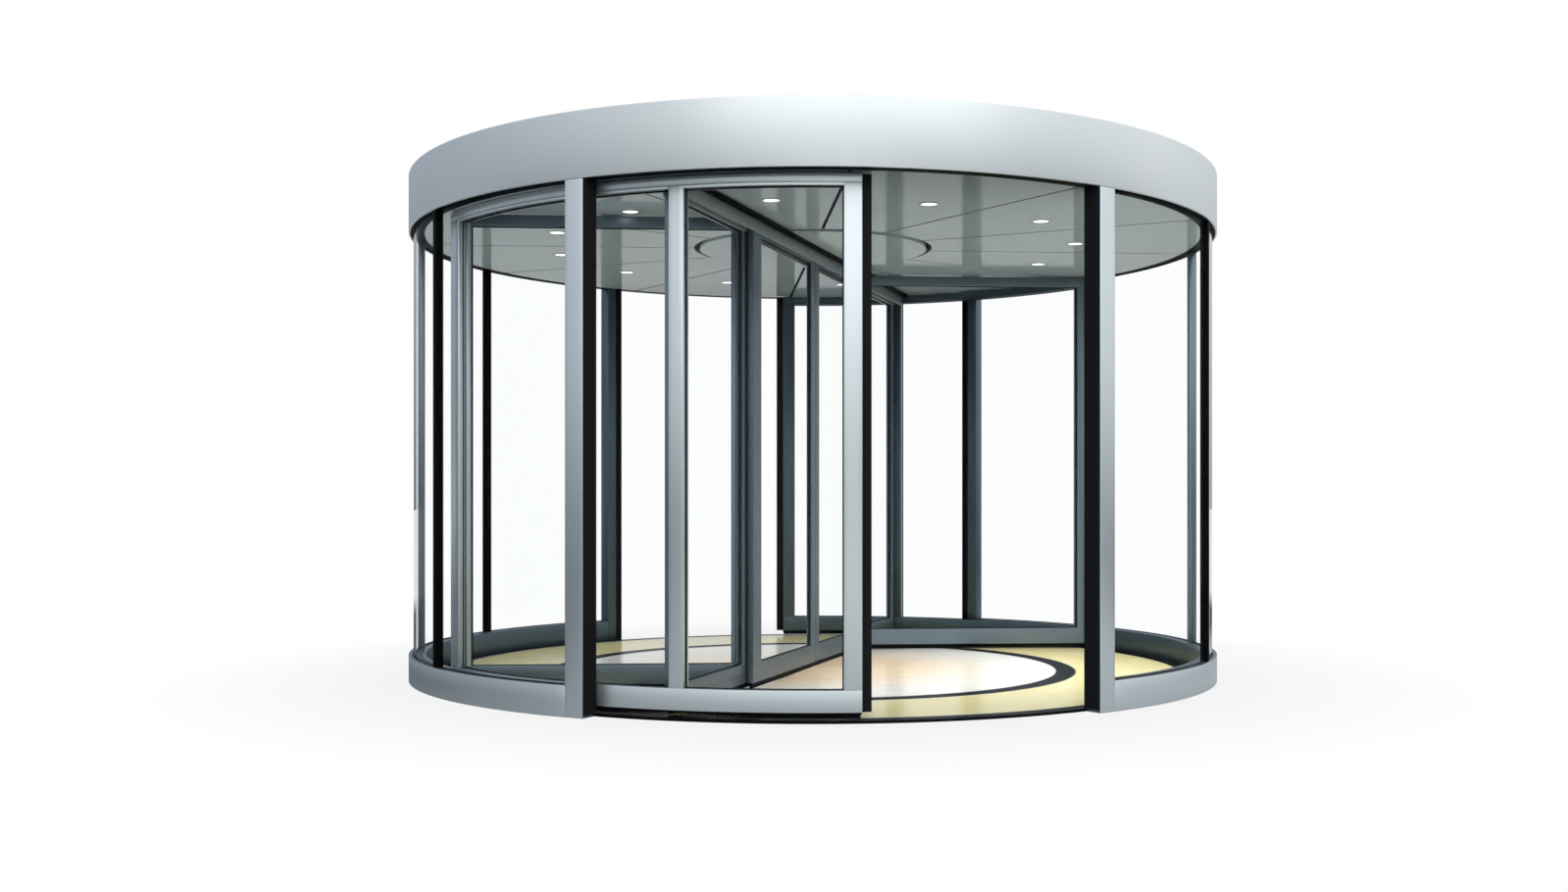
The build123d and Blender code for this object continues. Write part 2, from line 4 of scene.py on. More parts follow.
import bpy
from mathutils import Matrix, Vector


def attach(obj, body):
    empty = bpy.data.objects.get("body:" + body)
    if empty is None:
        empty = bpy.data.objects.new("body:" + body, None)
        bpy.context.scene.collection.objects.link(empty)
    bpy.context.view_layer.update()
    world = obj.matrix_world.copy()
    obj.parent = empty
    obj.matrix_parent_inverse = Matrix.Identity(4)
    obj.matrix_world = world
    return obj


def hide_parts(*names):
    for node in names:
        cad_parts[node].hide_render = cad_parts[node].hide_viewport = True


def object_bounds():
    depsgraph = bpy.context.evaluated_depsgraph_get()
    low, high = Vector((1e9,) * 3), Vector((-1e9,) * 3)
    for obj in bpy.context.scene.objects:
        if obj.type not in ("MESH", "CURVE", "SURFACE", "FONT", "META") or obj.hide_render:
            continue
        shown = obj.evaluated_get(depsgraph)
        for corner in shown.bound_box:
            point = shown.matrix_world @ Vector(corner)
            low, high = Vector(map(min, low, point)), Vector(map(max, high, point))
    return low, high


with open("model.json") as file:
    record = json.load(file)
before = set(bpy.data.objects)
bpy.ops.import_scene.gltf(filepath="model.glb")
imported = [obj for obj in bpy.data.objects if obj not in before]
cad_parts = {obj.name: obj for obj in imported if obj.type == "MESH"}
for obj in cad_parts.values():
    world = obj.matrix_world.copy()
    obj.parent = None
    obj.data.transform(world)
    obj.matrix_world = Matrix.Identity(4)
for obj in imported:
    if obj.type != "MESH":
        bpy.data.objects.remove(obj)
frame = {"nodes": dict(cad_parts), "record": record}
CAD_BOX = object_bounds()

# All lengths are in metres. Plan angles are in degrees, read from the front, positive towards +X.
FULL_TURN_DEG = 360
HALF_TURN_DEG = 180
QUARTER_TURN_DEG = 90

# Drum
DRUM_R = CAD_BOX[1].x
CANOPY_TOP = CAD_BOX[1].z
WALL_IN_R = 2.016
FLOOR_TOP = 0.012
PLINTH_H = 0.135
PASSAGE_H = 2.255
WALL_GLASS_R = 2.07
WALL_GLASS_HALF = 0.006
WALL_SPAN = (34.01, 144.09)
JAMB_DEGS = ((31.5, 0), (33.4, HALF_TURN_DEG))
STRIP_T = 0.01
STRIP_FLAP_W = 0.028
STRIP_FLAP_T = 0.005
STRIP_FLAP_ROUND = 0.001
STRIP_SETBACK = 0.006
STRIP_RIBS = 14
STRIP_RIB_DEPTH = 0.003
FASCIAS = ("front_fascia", "right_fascia", "back_fascia", "left_fascia")
FASCIA_T = 0.008
FASCIA_RETURN_W = 0.06
FASCIA_EDGE_R = 0.003
FLOOR_JOINT_RS = (1.29, 1.39, 1.936)
FLOOR_TRIM_W = 0.006
FLOOR_TRIM_RISE = 0.0008

# Downlights and roof
LIGHT_COUNT = 12
LIGHT_RING_R = 1.39
LIGHT_START_DEG = 18
LIGHT_SIDES = 40
LIGHT_RIM_R = 0.046
LIGHT_RIM_T = 0.002
LIGHT_MOUTH_R = 0.0385
LIGHT_LENS_R = 0.032
LENS_RECESS = 0.006
LENS_DROP = 0.0065
LENS_FLARE = 1.17
LENS_DOME = ((0.004, 0.0006), (0.01, 0.0005))
ROOF_SHEET_TOP = 2.532
ROOF_SEAM_COUNT = 12
SCREW_RS = (0.45, 0.95, 1.45, 1.93)
SCREW_OFFSET = 0.035
SCREW_SIDES = 6
SCREW_R = 0.007
SCREW_H = 0.005
SCREW_FLANGE = 1.5

# Rotor, drawn with the wing along Y
REST_DEG = -21
SCREEN_GLASS_R = 1.9735
SCREEN_OUT_R = 2.005
SCREEN_IN_R = 1.942
SCREEN_SPAN = (-40.9, 22.5)
PANE_SPANS = ((-38.142, -0.658), (1.258, 20.323))
SCREEN_HEAD_FOOT = 2.212
SCREEN_TOP = 2.25
RAIL_FOOT = 0.043
RAIL_HEAD = 0.135
ROTOR_GLASS_HALF = 0.005
END_SEAL_W = 0.042
END_SEAL_BASE_W = 0.014
END_SEAL_HALF = 0.01
END_SEAL_FIN_SHARE = 0.6
END_SEAL_TIP_R = 0.004
BRUSH_FOOT = 0.017
BRUSH_HALF = 0.01
BRUSH_HOLDER_H = 0.009
BRUSH_HOLDER_ROUND = 0.002
TUFT_STEP = 0.007
TUFT_SIDES = 6
TUFT_ROOT_R = 0.0034
TUFT_TIP_R = 0.0022
TUFT_CRIMP = 0.7
TUFT_ROW_OFFSET = 0.0045
CASE_WALL_DEG = 21
CASE_TURN_DEG = CASE_WALL_DEG - QUARTER_TURN_DEG

# Flat glazed frames of the wing: plane, near and far edge of the window, sill and head
LEAF_WINDOW = (0, -0.907, -0.073, 0.135, 2.171)
SIDELIGHT_WINDOW = (-0.044, -1.882, -1.055, 0.135, 2.18)
FRONT_CASE_WINDOW = (0.936, -1.66986, -0.45698, 0.135, 2.193)
BACK_CASE_WINDOW = (0.936, -1.66986, -0.41628, 0.135, 2.193)
# Their brushes: plane, near and far end
LEAF_BRUSH = (0, -1.027, -0.003)
SIDELIGHT_BRUSH = (-0.044, -1.941, -0.905)
FRONT_CASE_BRUSH = (0.936, -1.701, -0.432)
BACK_CASE_BRUSH = (0.936, -1.701, -0.39)
GASKET_W = 0.003
GASKET_T = 0.0025
GASKET_ROUND = GASKET_T / 4
BEAD_H = 0.014
BEAD_SETBACK = 0.001
LEAF_EDGE_V = 0.003
LEAF_TOP = 2.201
LEAF_SEAL_W = 0.012
LEAF_SEAL_T = 0.002
LEAF_SEAL_ROUND = 0.0009

# Edges and meshes
EDGE_ROUND = 0.0025
EDGE_SEGMENTS = 2
FINE_SEGMENTS = 3
EDGE_ANGLE = math.radians(40)
FLAT_ANGLE = math.radians(0.3)
SMOOTH_ANGLE = math.radians(30)
MERGE_DISTANCE = 0.00005
ARC_STEP_DEG = 1.5
STANDING_ALONG_X = (math.pi / 2, 0, 0)
STANDING_ALONG_Y = (math.pi / 2, 0, math.pi / 2)

# Tones of the finishes, each from darker to paler
# Pale and dark tones of one aluminium: the dark tone is painted shade on faces turned towards the axis and on
# level faces.
OUTWARD_LIT_TONES = ((0.62, 0.7, 0.74), (0.69, 0.76, 0.79))
INWARD_SHADE_TONES = ((0.1, 0.14, 0.172), (0.135, 0.18, 0.215))
# The fascia's aluminium gets paler tones than the posts' as a painted highlight.
FASCIA_HIGHLIGHT_TONES = ((0.77, 0.83, 0.86), (0.83, 0.88, 0.9))
SLATE_TONES = ((0.155, 0.205, 0.245), (0.205, 0.26, 0.3))
WING_TONES = ((0.125, 0.162, 0.195), (0.16, 0.2, 0.235))
HEADER_TONES = ((0.17, 0.205, 0.212), (0.205, 0.245, 0.25))
TRIM_TONES = ((0.3, 0.32, 0.33), (0.38, 0.4, 0.41))
RUBBER_TONES = ((0.004, 0.0045, 0.005), (0.009, 0.0095, 0.011))
COAT_TONES = ((0.003, 0.0035, 0.004), (0.006, 0.007, 0.008))
CEILING_TONES = ((0.28, 0.345, 0.36), (0.325, 0.392, 0.408))
ROOF_TONES = ((0.42, 0.45, 0.48), (0.55, 0.57, 0.59))
STEEL_TONES = ((0.42, 0.43, 0.45), (0.52, 0.53, 0.55))
LENS_TONE = (0.9, 0.9, 0.88)
LENS_GLOW = ((0.97, 0.99, 0.97), (1, 1, 0.98))
CREAM_TONES = ((0.84, 0.7, 0.25), (0.93, 0.85, 0.45))
TAN_TONES = ((0.72, 0.5, 0.28), (0.85, 0.68, 0.45))
FIELD_WHITE = (0.93, 0.92, 0.88)
VEIN_TONE = (0.95, 0.93, 0.8)
INLAY_TONES = ((0.005, 0.006, 0.007), (0.025, 0.028, 0.03))
GLASS_TINT = (0.99, 0.995, 0.995)
GLASS_STRAIGHT_TINT = (0.97, 0.98, 0.98)
WHITE = (1, 1, 1)

# Where the painted shade on the aluminium starts, by how far a face turns outwards, and where the floor's
# rings change
DRUM_LIGHT_LIMIT = 0.55
SCREEN_LIGHT_LIMIT = -0.25
CREAM_FROM_R = 1.34
TAN_FROM_R = 1.15
TAN_FADE = 1.6

# Patterns: the stretch of object coordinates
EVEN = (1, 1, 1)
IN_PLAN = (1, 1, 0)
DRAWN = (60, 60, 1.5)
UPRIGHT_WEAR = (1, 1, 0.2)
UPRIGHT_SMEAR = (1, 1, 0.3)
TURNED = (1, 1, 60)

# Camera, from the photograph's perspective
CAMERA_AZIMUTH = math.radians(-4.3)
CAMERA_DISTANCE = 8.333
CAMERA_HEIGHT = 0.924
CAMERA_LENS = 35.64
CAMERA_SENSOR = 36
CAMERA_SHIFT = (-0.0184, 0.0327)

# Studio: a dark left, a paler right and a bright sky round the door, on a pale floor with a painted shadow
# near the door and painted pools of light that metal mirrors in it
HORIZON_TONES = ((0.12, 0.15, 0.18), (0.73, 0.74, 0.74))
SKY_TONES = ((0.33, 0.38, 0.45), (1, 1, 1))
SKY_FADE = 5
SIDE_BASE = 0.7
SIDE_EAST = 0.4
SIDE_NORTH = 0.5
BACKDROP_FROM = 0.96
BACKDROP_FADE = 30
STUDIO_FLOOR_SIZE = 200
STUDIO_FLOOR_Z = -0.001
PAPER_TONE = (0.15, 0.17, 0.185)
# Floor: painted shadow round the door, and painted pools of light in front, right of centre, and behind,
# which metal mirrors
SHADE_FROM_R = 2.1
SHADE_FADE = 0.8
SHADE_WHITE = 0.88
NEAR_GLOW = 0.6
FRONT_GLOW = 0.82
FRONT_GLOW_X = 0.7
FRONT_GLOW_FADE = 0.09
REAR_GLOW = 0.75
REAR_GLOW_FROM_Y = 4
REAR_GLOW_FADE = 0.5
LIGHT_BOUNCES = 24
CLEAR_BOUNCES = 32
SOFTBOXES = {
    "front_right_softbox": {"place": (0.9, -8.5, 5), "target": (0, 0, 2.2), "size": (11.4, 2.8), "power": 84},
    "top_softbox": {"place": (0.5, -2, 8), "target": (0, 0, 2), "size": (13, 13), "power": 100},
    "inner_softbox": {"place": (1.1, -0.3, 2.2), "target": (1.25, -0.3, 0), "size": (1.2, 2.2), "power": 22},
}
INNER_SPREAD = math.radians(90)


class Value:
    """A shader socket that can be used in sums."""

    def __init__(self, finish, socket):
        self.finish = finish
        self.socket = socket

    def combine(self, operation, first, second):
        return self.finish.add("ShaderNodeMath", {"operation": operation}, {0: first, 1: second})

    def __add__(self, other):
        return self.combine("ADD", self, other)

    def __radd__(self, other):
        return self.combine("ADD", other, self)

    def __sub__(self, other):
        return self.combine("SUBTRACT", self, other)

    def __rsub__(self, other):
        return self.combine("SUBTRACT", other, self)

    def __mul__(self, other):
        return self.combine("MULTIPLY", self, other)

    def __rmul__(self, other):
        return self.combine("MULTIPLY", other, self)

    def above(self, limit):
        return self.combine("GREATER_THAN", self, limit)

    def clamped(self):
        return self.finish.add("ShaderNodeClamp", {}, {"Value": self})

    def rise(self, start, slope):
        """0 up to a start, then rising at a slope to 1."""
        return ((self - start) * slope).clamped()


class Finish:
    """A node tree under construction: a material's or the world's."""

    def __init__(self, tree):
        self.tree = tree
        self.tree.nodes.clear()

    def node(self, kind, settings, sockets):
        """Add any node: its settings first, then the values or links of its sockets."""
        made = self.tree.nodes.new(kind)
        for key, value in settings.items():
            setattr(made, key, value)
        for key, value in sockets.items():
            if isinstance(value, Value):
                self.tree.links.new(value.socket, made.inputs[key])
            else:
                made.inputs[key].default_value = value
        return made

    def add(self, kind, settings, sockets, output=0):
        """Add a node and give one of its outputs."""
        return Value(self, self.node(kind, settings, sockets).outputs[output])

    def mix(self, factor, first, second):
        """Blend two colours."""
        sockets = {0: factor, 6: self.colour(first), 7: self.colour(second)}
        return self.add("ShaderNodeMix", {"data_type": "RGBA"}, sockets, 2)

    def colour(self, value):
        return value if isinstance(value, Value) else (*value, 1)

    def place(self, stretch=EVEN):
        """Object coordinates, stretched for a pattern."""
        coordinates = self.add("ShaderNodeTexCoord", {}, {}, "Object")
        return self.add("ShaderNodeMapping", {}, {"Vector": coordinates, "Scale": stretch})

    def noise(self, scale, stretch=EVEN, detail=2):
        """Soft random pattern between 0 and 1."""
        sockets = {"Vector": self.place(stretch), "Scale": scale, "Detail": detail}
        return self.add("ShaderNodeTexNoise", {}, sockets, 0)

    def vector(self, operation, output, *vectors):
        """A sum on vectors."""
        settings = {"operation": operation}
        return self.add("ShaderNodeVectorMath", settings, dict(enumerate(vectors)), output)

    def axes(self, vector):
        """The three parts of a vector."""
        parts = self.node("ShaderNodeSeparateXYZ", {}, {0: vector})
        return [Value(self, output) for output in parts.outputs]

    def rays(self, *kinds):
        """For each kind of ray a value that is 1 where it is one."""
        path = self.node("ShaderNodeLightPath", {}, {})
        return [Value(self, path.outputs[f"Is {kind} Ray"]) for kind in kinds]

    def radius(self):
        """Distance from the door's axis."""
        return self.vector("LENGTH", "Value", self.place(IN_PLAN))

    def normal(self):
        return self.add("ShaderNodeTexCoord", {}, {}, "Normal")

    def outward(self):
        """1 where a surface faces away from the door's axis, -1 where it faces the axis."""
        radial = self.vector("NORMALIZE", "Vector", self.place(IN_PLAN))
        return self.vector("DOT_PRODUCT", "Value", radial, self.normal())

    def level(self):
        """1 where a surface lies flat, 0 where it stands upright."""
        height = self.axes(self.normal())[2]
        return height * height

    def bump(self, height, strength, distance):
        sockets = {"Height": height, "Strength": strength, "Distance": distance}
        return self.add("ShaderNodeBump", {}, sockets)

    def principled(self, sockets):
        return self.add("ShaderNodeBsdfPrincipled", {}, sockets)


def new_material(name):
    material = bpy.data.materials.new(name)
    material.use_nodes = True
    return material, Finish(material.node_tree)


def surface(finish, shader):
    finish.node("ShaderNodeOutputMaterial", {}, {"Surface": shader})


def drawn_metal(finish, colour, metallic):
    """Metal with fine streaks along the drawn profile."""
    streak = finish.noise(4, DRAWN)
    surface(finish, finish.principled({
        "Base Color": colour, "Metallic": metallic, "Roughness": 0.34 + streak * 0.1,
        "Normal": finish.bump(streak, 0.05, 0.001)}))


def aluminium_with_painted_shade(name, limit):
    """Anodised aluminium of one finish with painted shade: the pale tone where it faces outwards past a
    limit, the dark tone as painted shade elsewhere and on level faces.
    """
    material, finish = new_material(name)
    cloud = finish.noise(1.3)
    # Painted shade: faces turned towards the axis past the limit, and level faces, take the dark tone.
    inside = ((limit - finish.outward()) * 4 + finish.level() * 3).clamped()
    light = finish.mix(cloud, *OUTWARD_LIT_TONES)
    dark = finish.mix(cloud, *INWARD_SHADE_TONES)
    drawn_metal(finish, finish.mix(inside, light, dark), 0.85)
    return material


def anodised_aluminium(name, tones, metallic):
    """Anodised aluminium between two tones."""
    material, finish = new_material(name)
    drawn_metal(finish, finish.mix(finish.noise(1.7), *tones), metallic)
    return material


def black_rubber():
    """Matt rubber with a faint moulded grain."""
    material, finish = new_material("black_rubber")
    grain = finish.noise(420)
    wear = finish.noise(9, UPRIGHT_WEAR)
    surface(finish, finish.principled({
        "Base Color": finish.mix(wear, *RUBBER_TONES), "IOR": 1.25,
        "Roughness": 0.55 + wear * 0.2, "Normal": finish.bump(grain, 0.12, 0.0006)}))
    return material


def black_coat():
    """Fine-textured black paint on metal."""
    material, finish = new_material("black_coat")
    grain = finish.noise(600)
    cloud = finish.noise(5)
    surface(finish, finish.principled({
        "Base Color": finish.mix(cloud, *COAT_TONES), "IOR": 1.1,
        "Roughness": 0.5 + cloud * 0.15, "Normal": finish.bump(grain, 0.08, 0.0004)}))
    return material


def clear_glass():
    """Clear sheet glass. The lamps' light and what metal mirrors pass straight through it."""
    material, finish = new_material("clear_glass")
    smear = finish.noise(2.2, UPRIGHT_SMEAR)
    glass = finish.principled({
        "Base Color": finish.colour(GLASS_TINT), "Transmission Weight": 1, "IOR": 1.015,
        "Roughness": smear * 0.006})
    clear = finish.add("ShaderNodeBsdfTransparent", {}, {"Color": finish.colour(GLASS_STRAIGHT_TINT)})
    shadow, mirrored, through = finish.rays("Shadow", "Glossy", "Transmission")
    straight = (shadow + mirrored * (1 - through)).clamped()
    surface(finish, finish.add("ShaderNodeMixShader", {}, {0: straight, 1: glass, 2: clear}))
    return material


def gloss_ceiling():
    """Glossy grey painted panels that mirror the uprights faintly."""
    material, finish = new_material("gloss_ceiling")
    cloud = finish.noise(0.9)
    ripple = finish.noise(3)
    surface(finish, finish.principled({
        "Base Color": finish.mix(cloud, *CEILING_TONES), "IOR": 1.1,
        "Roughness": 0.07 + cloud * 0.05, "Normal": finish.bump(ripple, 0.02, 0.01)}))
    return material


def roof_sheet():
    """Satin grey sheet metal with faint dust."""
    material, finish = new_material("roof_sheet")
    dust = finish.noise(2.4, detail=5)
    surface(finish, finish.principled({
        "Base Color": finish.mix(dust, *ROOF_TONES), "Metallic": 0.5, "Roughness": 0.4 + dust * 0.25}))
    return material


def machined_steel():
    """Turned steel of the bearing, the roof's screws and the floor's joints."""
    material, finish = new_material("machined_steel")
    rings = finish.noise(8, TURNED)
    surface(finish, finish.principled({
        "Base Color": finish.mix(rings, *STEEL_TONES), "Metallic": 1, "Roughness": 0.25 + rings * 0.2}))
    return material


def lamp_lens():
    """Frosted lens, lit from behind."""
    material, finish = new_material("lamp_lens")
    frost = finish.noise(300)
    surface(finish, finish.principled({
        "Base Color": finish.colour(LENS_TONE), "Roughness": 0.3 + frost * 0.2,
        "Emission Strength": 1.2, "Emission Color": finish.mix(frost, *LENS_GLOW)}))
    return material


def pale_stone():
    """Polished floor: cream outside the dark ring, white fading to tan inside it."""
    material, finish = new_material("pale_stone")
    cloud = finish.noise(1.4, detail=4)
    vein = finish.noise(9, detail=8)
    radius = finish.radius()
    cream = finish.mix(cloud, *CREAM_TONES)
    tan = finish.mix(cloud, *TAN_TONES)
    inner = finish.mix(radius.rise(TAN_FROM_R, -TAN_FADE), FIELD_WHITE, tan)
    base = finish.mix(radius.above(CREAM_FROM_R), inner, cream)
    surface(finish, finish.principled({
        "Base Color": finish.mix(vein * 0.25, base, VEIN_TONE), "Roughness": 0.16 + vein * 0.1,
        "IOR": 1.3}))
    return material


def dark_stone():
    """Polished dark inlay with mineral specks."""
    material, finish = new_material("dark_stone")
    speck = finish.noise(160, detail=3).above(0.66)
    surface(finish, finish.principled({
        "Base Color": finish.mix(speck, *INLAY_TONES), "IOR": 1.1, "Roughness": 0.35 + speck * 0.1}))
    return material


SILVER = aluminium_with_painted_shade("drum_aluminium", DRUM_LIGHT_LIMIT)
SCREEN_SILVER = aluminium_with_painted_shade("screen_aluminium", SCREEN_LIGHT_LIMIT)
# Paler than the posts' aluminium: a painted highlight on the fascia.
FASCIA_HIGHLIGHT_SILVER = anodised_aluminium("fascia_aluminium", FASCIA_HIGHLIGHT_TONES, 0.8)
SLATE = anodised_aluminium("slate_aluminium", SLATE_TONES, 0.8)
WING_SLATE = anodised_aluminium("wing_aluminium", WING_TONES, 0.6)
HEADER_GREY = anodised_aluminium("header_aluminium", HEADER_TONES, 0.15)
TRIM_GREY = anodised_aluminium("trim_aluminium", TRIM_TONES, 0.8)
RUBBER = black_rubber()
COAT = black_coat()
GLASS = clear_glass()
CEILING = gloss_ceiling()
ROOF = roof_sheet()
STEEL = machined_steel()
LENS = lamp_lens()
PALE = pale_stone()
DARK = dark_stone()

SLOT_FINISHES = {
    "satin_aluminium": SILVER,
    "black_metal": COAT,
    "black_rubber": RUBBER,
    "clear_glass": GLASS,
    "gloss_ceiling": CEILING,
    "roof_sheet": ROOF,
    "bearing_steel": STEEL,
    "lamp_trim": TRIM_GREY,
    "lamp_lens": LENS,
    "floor_pale": PALE,
    "floor_dark": DARK,
}
NODE_FINISHES = {
    "front_screen_rails": SCREEN_SILVER,
    "front_screen_stiles": SCREEN_SILVER,
    "back_screen_rails": SCREEN_SILVER,
    "back_screen_stiles": SCREEN_SILVER,
    "wing_header": HEADER_GREY,
    "front_sidelight_frame": WING_SLATE,
    "back_sidelight_frame": WING_SLATE,
    "front_leaf_frame": WING_SLATE,
    "back_leaf_frame": WING_SLATE,
    "case_wall_frames": SLATE,
    "middle_mullions": SLATE,
}
ROUNDED_SLOTS = ("satin_aluminium", "black_metal", "roof_sheet")
RECORD = frame["record"]
BODY_OF = {node: body for body, nodes in RECORD["behaviour"]["bodies"].items() for node in nodes}
SLOT_OF = {part["node"]: part["material_slot"] for part in RECORD["subparts"]}


def finish_of(node):
    return NODE_FINISHES.get(node, SLOT_FINISHES[SLOT_OF[node]])


def paint(piece, material):
    piece.data.materials.clear()
    piece.data.materials.append(material)


def activate(piece):
    bpy.ops.object.select_all(action="DESELECT")
    piece.select_set(True)
    bpy.context.view_layer.objects.active = piece


def edit(piece):
    """Open the piece with all of it selected."""
    activate(piece)
    bpy.ops.object.mode_set(mode="EDIT")
    bpy.ops.mesh.select_all(action="SELECT")


def close(merge=False):
    """Leave edit mode with clean outward faces."""
    bpy.ops.mesh.select_all(action="SELECT")
    if merge:
        bpy.ops.mesh.remove_doubles(threshold=MERGE_DISTANCE)
    bpy.ops.mesh.normals_make_consistent(inside=False)
    bpy.ops.object.mode_set(mode="OBJECT")


def settle(piece):
    """Put the piece's place into its mesh."""
    activate(piece)
    bpy.ops.object.transform_apply(location=True, rotation=True, scale=True)


def turn(piece, angle_deg):
    """Turn the piece in plan about the door's axis."""
    piece.rotation_euler.z = math.radians(angle_deg)
    settle(piece)


def mirror(piece, scale):
    """Mirror the piece by a negative scale and put its faces right again."""
    piece.scale = scale
    settle(piece)
    edit(piece)
    close()


def added(name, mesh):
    """A new piece with a mesh of its own."""
    piece = bpy.data.objects.new(name, mesh)
    bpy.context.collection.objects.link(piece)
    return piece


def copy_of(piece):
    return added(piece.name, piece.data.copy())


def joined(name, pieces):
    """Make one piece of several."""
    activate(pieces[0])
    for piece in pieces:
        piece.select_set(True)
    if len(pieces) > 1:
        bpy.ops.object.join()
    pieces[0].name = name
    pieces[0].data.name = name
    return pieces[0]


def apply_modifiers(piece):
    activate(piece)
    for modifier in list(piece.modifiers):
        bpy.ops.object.modifier_apply(modifier=modifier.name)


def fit(piece, material, body, slot, *nodes):
    """Smooth, paint and mount a finished piece."""
    activate(piece)
    bpy.ops.object.shade_smooth_by_angle(angle=SMOOTH_ANGLE)
    paint(piece, material)
    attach(piece, body)
    if nodes:
        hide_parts(*nodes)


def pick(piece, test):
    """Select the vertices of an open piece that pass a test of their place."""
    bpy.ops.mesh.select_mode(type="VERT")
    bpy.ops.mesh.select_all(action="DESELECT")
    bpy.ops.object.mode_set(mode="OBJECT")
    for vertex in piece.data.vertices:
        vertex.select = test(vertex.co)
    bpy.ops.object.mode_set(mode="EDIT")


def extrude(move):
    bpy.ops.mesh.extrude_region_move(TRANSFORM_OT_translate={"value": move})


def round_corners(offset, segments=EDGE_SEGMENTS):
    """Round the selected corners of a flat section."""
    bpy.ops.mesh.bevel(offset=offset, segments=segments, affect="VERTICES")


def spin(steps, angle_deg, copies=False):
    """Carry what is selected round the door's axis."""
    bpy.ops.mesh.spin(steps=steps, dupli=copies, angle=math.radians(angle_deg), center=(0, 0, 0),
                      axis=(0, 0, -1))


def plate(name, size, place, facing=(0, 0, 0)):
    """Start a piece from a flat rectangle at its size and place."""
    bpy.ops.object.select_all(action="DESELECT")
    bpy.ops.mesh.primitive_plane_add(size=1, location=place, rotation=facing)
    piece = bpy.context.object
    piece.name = name
    piece.scale = (*size, 1)
    settle(piece)
    return piece


def radial_plate(name, low_r, high_r, low_z, high_z):
    """Flat section that stands on the +X axis, ready to be swept round."""
    size = (high_r - low_r, high_z - low_z)
    return plate(name, size, ((low_r + high_r) / 2, 0, (low_z + high_z) / 2), STANDING_ALONG_X)


def sweep(piece, start_deg, end_deg):
    """Sweep a section about the axis between two plan angles. All the way round it has no end faces."""
    span = end_deg - start_deg
    edit(piece)
    if span >= FULL_TURN_DEG:
        bpy.ops.mesh.delete(type="ONLY_FACE")
        bpy.ops.mesh.select_all(action="SELECT")
    spin(math.ceil(span / ARC_STEP_DEG), span)
    close(merge=True)
    turn(piece, start_deg - QUARTER_TURN_DEG)
    return piece


def arc(name, low_r, high_r, low_z, high_z, start_deg, end_deg, rounding):
    """Bar along a circle with rounded corners."""
    piece = radial_plate(name, low_r, high_r, low_z, high_z)
    edit(piece)
    round_corners(rounding)
    bpy.ops.object.mode_set(mode="OBJECT")
    return sweep(piece, start_deg, end_deg)


def upright(name, size, place, height, rounding):
    """Straight bar with rounded corners that stands on a rectangle drawn in plan."""
    piece = plate(name, size, place)
    edit(piece)
    round_corners(rounding)
    bpy.ops.mesh.select_all(action="SELECT")
    extrude((0, 0, height))
    close()
    return piece


def pane_sides(glass_r, glass_half, depth):
    """Lower and upper radius of a layer on the outer and on the inner face of a bent pane."""
    face_r = glass_r + glass_half
    back_r = glass_r - glass_half
    return ((face_r, face_r + depth), (back_r - depth, back_r))


def rounded_copy(node):
    """The node's own shape with merged faces and rounded edges, in place of the plain solid."""
    piece = added(f"{node}_rounded", frame["nodes"][node].data.copy())
    edit(piece)
    bpy.ops.mesh.remove_doubles(threshold=MERGE_DISTANCE)
    bpy.ops.mesh.dissolve_limited(angle_limit=FLAT_ANGLE)
    bpy.ops.object.mode_set(mode="OBJECT")
    bevel = piece.modifiers.new("edges", "BEVEL")
    bevel.width = EDGE_ROUND
    bevel.segments = EDGE_SEGMENTS
    bevel.limit_method = "ANGLE"
    bevel.angle_limit = EDGE_ANGLE
    apply_modifiers(piece)
    fit(piece, finish_of(node), BODY_OF[node], SLOT_OF[node], node)


def canopy_skin():
    """Seamless band round the canopy with rounded edges and a return over the roof."""
    inner_r = DRUM_R - FASCIA_T
    return_z = CANOPY_TOP - 2 * FASCIA_T
    skin = radial_plate("canopy_skin", inner_r, DRUM_R, PASSAGE_H, CANOPY_TOP - FASCIA_T)
    edit(skin)
    pick(skin, lambda place: place.z > return_z)
    extrude((0, 0, FASCIA_T))
    pick(skin, lambda place: place.z > return_z and place.x < inner_r + MERGE_DISTANCE)
    extrude((-FASCIA_RETURN_W, 0, 0))
    bpy.ops.mesh.select_all(action="SELECT")
    bpy.ops.mesh.dissolve_faces()
    pick(skin, lambda place: place.x > DRUM_R - MERGE_DISTANCE)
    round_corners(FASCIA_EDGE_R, FINE_SEGMENTS)
    bpy.ops.object.mode_set(mode="OBJECT")
    sweep(skin, 0, FULL_TURN_DEG)
    fit(skin, FASCIA_HIGHLIGHT_SILVER, "drum", "satin_aluminium", *FASCIAS)


